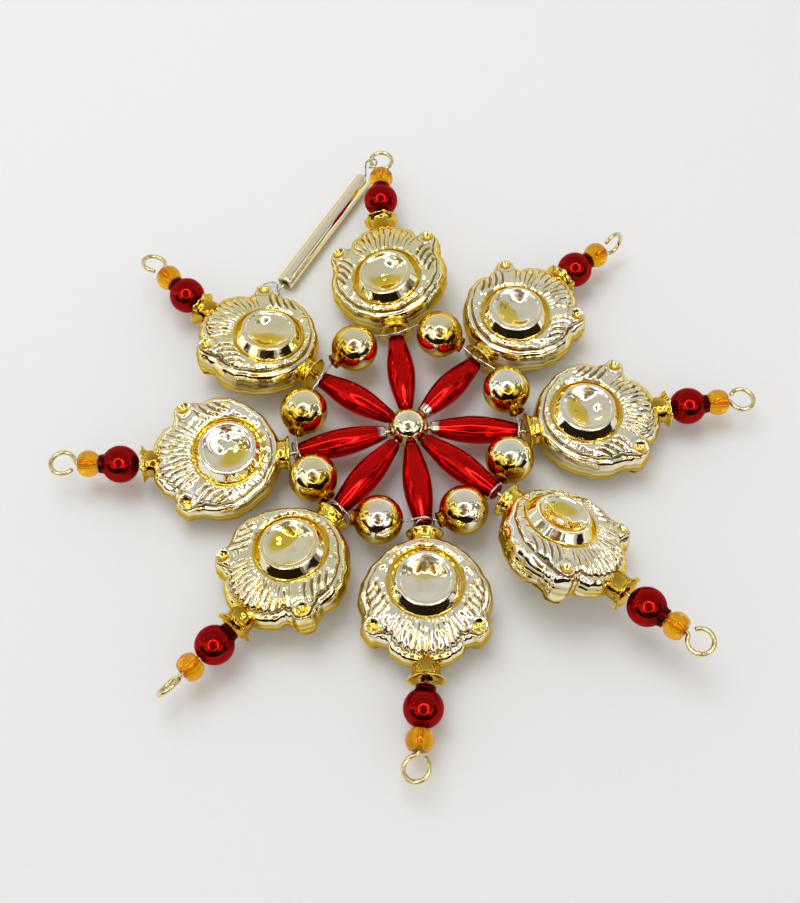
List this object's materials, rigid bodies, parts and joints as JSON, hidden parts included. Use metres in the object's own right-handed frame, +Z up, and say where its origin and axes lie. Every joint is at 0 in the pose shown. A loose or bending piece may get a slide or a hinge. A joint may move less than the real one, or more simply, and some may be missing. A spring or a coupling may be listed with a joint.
{
  "type": "beaded star ornament",
  "caption": "Hanging star of mirrored glass beads on wire arms round a hub ball, with shell-shaped rays, a ring of gilt balls and a bugle-bead hanger.",
  "frame": {"origin": "middle of the outline's box, on the surface that the star lies on", "axes": "+Z up from the table, +Y along the arm that carries the hanger, +X to the right seen from above"},
  "size_m": [0.1148, 0.1166, 0.015],
  "materials": {
    "gilt_glass": "silvered inside with a pale gold lacquer, high gloss",
    "red_glass": "silvered inside with a clear red lacquer, high gloss",
    "amber_glass": "transparent amber, polished",
    "pale_glass": "translucent cream tube, polished",
    "brass_wire": "bright drawn wire",
    "silvered_wire": "bright fine wire"
  },
  "bodies": {
    "wires": {"arm_wire_1": "brass_wire", "arm_wire_2": "brass_wire", "arm_wire_3": "brass_wire", "arm_wire_4": "brass_wire", "arm_wire_5": "brass_wire", "arm_wire_6": "brass_wire", "arm_wire_7": "brass_wire", "arm_wire_8": "brass_wire", "hub_ball": "gilt_glass", "tie_wire": "silvered_wire"},
    "shell_bead_1": {"shell_bead_1": "gilt_glass"},
    "oval_bead_1": {"oval_bead_1": "red_glass"},
    "red_ball_1": {"red_ball_1": "red_glass"},
    "amber_bead_1": {"amber_bead_1": "amber_glass"},
    "ring_ball_1": {"ring_ball_1": "gilt_glass"},
    "shell_bead_2": {"shell_bead_2": "gilt_glass"},
    "oval_bead_2": {"oval_bead_2": "red_glass"},
    "red_ball_2": {"red_ball_2": "red_glass"},
    "amber_bead_2": {"amber_bead_2": "amber_glass"},
    "ring_ball_2": {"ring_ball_2": "gilt_glass"},
    "shell_bead_3": {"shell_bead_3": "gilt_glass"},
    "oval_bead_3": {"oval_bead_3": "red_glass"},
    "red_ball_3": {"red_ball_3": "red_glass"},
    "amber_bead_3": {"amber_bead_3": "amber_glass"},
    "ring_ball_3": {"ring_ball_3": "gilt_glass"},
    "shell_bead_4": {"shell_bead_4": "gilt_glass"},
    "oval_bead_4": {"oval_bead_4": "red_glass"},
    "red_ball_4": {"red_ball_4": "red_glass"},
    "amber_bead_4": {"amber_bead_4": "amber_glass"},
    "ring_ball_4": {"ring_ball_4": "gilt_glass"},
    "shell_bead_5": {"shell_bead_5": "gilt_glass"},
    "oval_bead_5": {"oval_bead_5": "red_glass"},
    "red_ball_5": {"red_ball_5": "red_glass"},
    "amber_bead_5": {"amber_bead_5": "amber_glass"},
    "ring_ball_5": {"ring_ball_5": "gilt_glass"},
    "shell_bead_6": {"shell_bead_6": "gilt_glass"},
    "oval_bead_6": {"oval_bead_6": "red_glass"},
    "red_ball_6": {"red_ball_6": "red_glass"},
    "amber_bead_6": {"amber_bead_6": "amber_glass"},
    "ring_ball_6": {"ring_ball_6": "gilt_glass"},
    "shell_bead_7": {"shell_bead_7": "gilt_glass"},
    "oval_bead_7": {"oval_bead_7": "red_glass"},
    "red_ball_7": {"red_ball_7": "red_glass"},
    "amber_bead_7": {"amber_bead_7": "amber_glass"},
    "ring_ball_7": {"ring_ball_7": "gilt_glass"},
    "shell_bead_8": {"shell_bead_8": "gilt_glass"},
    "oval_bead_8": {"oval_bead_8": "red_glass"},
    "red_ball_8": {"red_ball_8": "red_glass"},
    "amber_bead_8": {"amber_bead_8": "amber_glass"},
    "ring_ball_8": {"ring_ball_8": "gilt_glass"},
    "hanger": {"hanger_wire": "silvered_wire"},
    "bugle": {"bugle_bead": "pale_glass"}
  },
  "joints": [
    {"name": "spin_shell_bead_1", "type": "hinge", "parent": "wires", "child": "shell_bead_1", "pos_m": [-0.00306, 0.02773, 0.00553], "axis": [-0.1114, 0.9935, 0.0235], "continuous": true},
    {"name": "spin_oval_bead_1", "type": "hinge", "parent": "wires", "child": "oval_bead_1", "pos_m": [-0.00033, 0.00334, 0.00495], "axis": [-0.1114, 0.9935, 0.0235], "continuous": true},
    {"name": "spin_red_ball_1", "type": "hinge", "parent": "wires", "child": "red_ball_1", "pos_m": [-0.00478, 0.04683, 0.00598], "axis": [0.0018, 0.9997, 0.0233], "continuous": true},
    {"name": "spin_amber_bead_1", "type": "hinge", "parent": "wires", "child": "amber_bead_1", "pos_m": [-0.00477, 0.05193, 0.0061], "axis": [0.0018, 0.9997, 0.0233], "continuous": true},
    {"name": "spin_ring_ball_1", "type": "hinge", "parent": "wires", "child": "ring_ball_1", "pos_m": [0.00532, 0.01697, 0.00687], "axis": [0.8554, -0.518, 0], "continuous": true},
    {"name": "spin_shell_bead_2", "type": "hinge", "parent": "wires", "child": "shell_bead_2", "pos_m": [0.01821, 0.02035, 0.00487], "axis": [0.6652, 0.7466, 0], "continuous": true},
    {"name": "spin_oval_bead_2", "type": "hinge", "parent": "wires", "child": "oval_bead_2", "pos_m": [0.00231, 0.0025, 0.00487], "axis": [0.6652, 0.7466, 0], "continuous": true},
    {"name": "spin_red_ball_2", "type": "hinge", "parent": "wires", "child": "red_ball_2", "pos_m": [0.02934, 0.03207, 0.00487], "axis": [0.7793, 0.6266, 0], "continuous": true},
    {"name": "spin_amber_bead_2", "type": "hinge", "parent": "wires", "child": "amber_bead_2", "pos_m": [0.03331, 0.03527, 0.00487], "axis": [0.7793, 0.6266, 0], "continuous": true},
    {"name": "spin_ring_ball_2", "type": "hinge", "parent": "wires", "child": "ring_ball_2", "pos_m": [0.01623, 0.0065, 0.00607], "axis": [0.3256, -0.9455, 0], "continuous": true},
    {"name": "spin_shell_bead_3", "type": "hinge", "parent": "wires", "child": "shell_bead_3", "pos_m": [0.02877, 0.00097, 0.00487], "axis": [0.9833, 0.1822, 0], "continuous": true},
    {"name": "spin_oval_bead_3", "type": "hinge", "parent": "wires", "child": "oval_bead_3", "pos_m": [0.00365, -0.00019, 0.00487], "axis": [0.9991, -0.0419, 0], "continuous": true},
    {"name": "spin_red_ball_3", "type": "hinge", "parent": "wires", "child": "red_ball_3", "pos_m": [0.0461, 0.00405, 0.00487], "axis": [0.9898, 0.1426, 0], "continuous": true},
    {"name": "spin_amber_bead_3", "type": "hinge", "parent": "wires", "child": "amber_bead_3", "pos_m": [0.05114, 0.00478, 0.00487], "axis": [0.9898, 0.1426, 0], "continuous": true},
    {"name": "spin_ring_ball_3", "type": "hinge", "parent": "wires", "child": "ring_ball_3", "pos_m": [0.01623, -0.00649, 0.00587], "axis": [-0.4027, -0.9153, 0], "continuous": true},
    {"name": "spin_shell_bead_4", "type": "hinge", "parent": "wires", "child": "shell_bead_4", "pos_m": [0.02226, -0.02081, 0.00725], "axis": [0.7134, -0.6964, 0.078], "continuous": true},
    {"name": "spin_oval_bead_4", "type": "hinge", "parent": "wires", "child": "oval_bead_4", "pos_m": [0.0027, -0.00246, 0.00515], "axis": [0.735, -0.6735, 0.0781], "continuous": true},
    {"name": "spin_red_ball_4", "type": "hinge", "parent": "wires", "child": "red_ball_4", "pos_m": [0.03518, -0.03295, 0.00864], "axis": [0.7825, -0.6177, 0.0779], "continuous": true},
    {"name": "spin_amber_bead_4", "type": "hinge", "parent": "wires", "child": "amber_bead_4", "pos_m": [0.03917, -0.0361, 0.00904], "axis": [0.7825, -0.6177, 0.0779], "continuous": true},
    {"name": "spin_ring_ball_4", "type": "hinge", "parent": "wires", "child": "ring_ball_4", "pos_m": [0.00865, -0.01568, 0.00607], "axis": [-0.9078, -0.4195, 0], "continuous": true},
    {"name": "spin_shell_bead_5", "type": "hinge", "parent": "wires", "child": "shell_bead_5", "pos_m": [0.00253, -0.02878, 0.00487], "axis": [0, -1, 0], "continuous": true},
    {"name": "spin_oval_bead_5", "type": "hinge", "parent": "wires", "child": "oval_bead_5", "pos_m": [0.0005, -0.00341, 0.00487], "axis": [0.1305, -0.9914, 0], "continuous": true},
    {"name": "spin_red_ball_5", "type": "hinge", "parent": "wires", "child": "red_ball_5", "pos_m": [0.00208, -0.0472, 0.00487], "axis": [0.1219, 0.9925, 0], "continuous": true},
    {"name": "spin_amber_bead_5", "type": "hinge", "parent": "wires", "child": "amber_bead_5", "pos_m": [0.0015, -0.05191, 0.00487], "axis": [-0.1219, -0.9925, 0], "continuous": true},
    {"name": "spin_ring_ball_5", "type": "hinge", "parent": "wires", "child": "ring_ball_5", "pos_m": [-0.00468, -0.01735, 0.00607], "axis": [-0.9957, 0.0924, 0], "continuous": true},
    {"name": "spin_shell_bead_6", "type": "hinge", "parent": "wires", "child": "shell_bead_6", "pos_m": [-0.01762, -0.02378, 0.00539], "axis": [-0.6017, -0.7985, 0.0175], "continuous": true},
    {"name": "spin_oval_bead_6", "type": "hinge", "parent": "wires", "child": "oval_bead_6", "pos_m": [-0.00218, -0.00305, 0.00494], "axis": [-0.5947, -0.8037, 0.0175], "continuous": true},
    {"name": "spin_red_ball_6", "type": "hinge", "parent": "wires", "child": "red_ball_6", "pos_m": [-0.02875, -0.03783, 0.0057], "axis": [0.6946, 0.7192, -0.0174], "continuous": true},
    {"name": "spin_amber_bead_6", "type": "hinge", "parent": "wires", "child": "amber_bead_6", "pos_m": [-0.03205, -0.04124, 0.00579], "axis": [-0.6946, -0.7192, 0.0174], "continuous": true},
    {"name": "spin_ring_ball_6", "type": "hinge", "parent": "wires", "child": "ring_ball_6", "pos_m": [-0.01502, -0.00997, 0.00617], "axis": [0.5358, -0.8443, 0], "continuous": true},
    {"name": "spin_shell_bead_7", "type": "hinge", "parent": "wires", "child": "shell_bead_7", "pos_m": [-0.02861, -0.00611, 0.0055], "axis": [-0.9953, -0.094, 0.0212], "continuous": true},
    {"name": "spin_oval_bead_7", "type": "hinge", "parent": "wires", "child": "oval_bead_7", "pos_m": [-0.00356, -0.00103, 0.00495], "axis": [-0.9643, -0.2638, 0.0215], "continuous": true},
    {"name": "spin_red_ball_7", "type": "hinge", "parent": "wires", "child": "red_ball_7", "pos_m": [-0.04594, -0.00742, 0.00587], "axis": [-0.9997, 0.0088, 0.0207], "continuous": true},
    {"name": "spin_amber_bead_7", "type": "hinge", "parent": "wires", "child": "amber_bead_7", "pos_m": [-0.05104, -0.00738, 0.00597], "axis": [-0.9997, 0.0088, 0.0207], "continuous": true},
    {"name": "spin_ring_ball_7", "type": "hinge", "parent": "wires", "child": "ring_ball_7", "pos_m": [-0.01703, 0.00236, 0.00607], "axis": [-0.2588, -0.9659, 0], "continuous": true},
    {"name": "spin_shell_bead_8", "type": "hinge", "parent": "wires", "child": "shell_bead_8", "pos_m": [-0.02358, 0.01514, 0.00547], "axis": [-0.8288, 0.5591, 0.0214], "continuous": true},
    {"name": "spin_oval_bead_8", "type": "hinge", "parent": "wires", "child": "oval_bead_8", "pos_m": [-0.00283, 0.00176, 0.00495], "axis": [-0.8479, 0.5298, 0.0214], "continuous": true},
    {"name": "spin_red_ball_8", "type": "hinge", "parent": "wires", "child": "red_ball_8", "pos_m": [-0.03803, 0.02576, 0.00586], "axis": [-0.6844, 0.7289, 0.0207], "continuous": true},
    {"name": "spin_amber_bead_8", "type": "hinge", "parent": "wires", "child": "amber_bead_8", "pos_m": [-0.04152, 0.02948, 0.00596], "axis": [-0.6844, 0.7289, 0.0207], "continuous": true},
    {"name": "spin_ring_ball_8", "type": "hinge", "parent": "wires", "child": "ring_ball_8", "pos_m": [-0.00896, 0.01473, 0.00607], "axis": [-0.7837, -0.6211, 0], "continuous": true},
    {"name": "swing_hanger", "type": "hinge", "parent": "wires", "child": "hanger", "pos_m": [-0.00477, 0.05603, 0.00619], "axis": [0, -0.0233, 0.9997], "range_deg": [-225, 0]},
    {"name": "spin_bugle", "type": "hinge", "parent": "hanger", "child": "bugle", "pos_m": [-0.00807, 0.05553, 0.00162], "axis": [-0.4955, -0.8686, 0], "continuous": true}
  ]
}
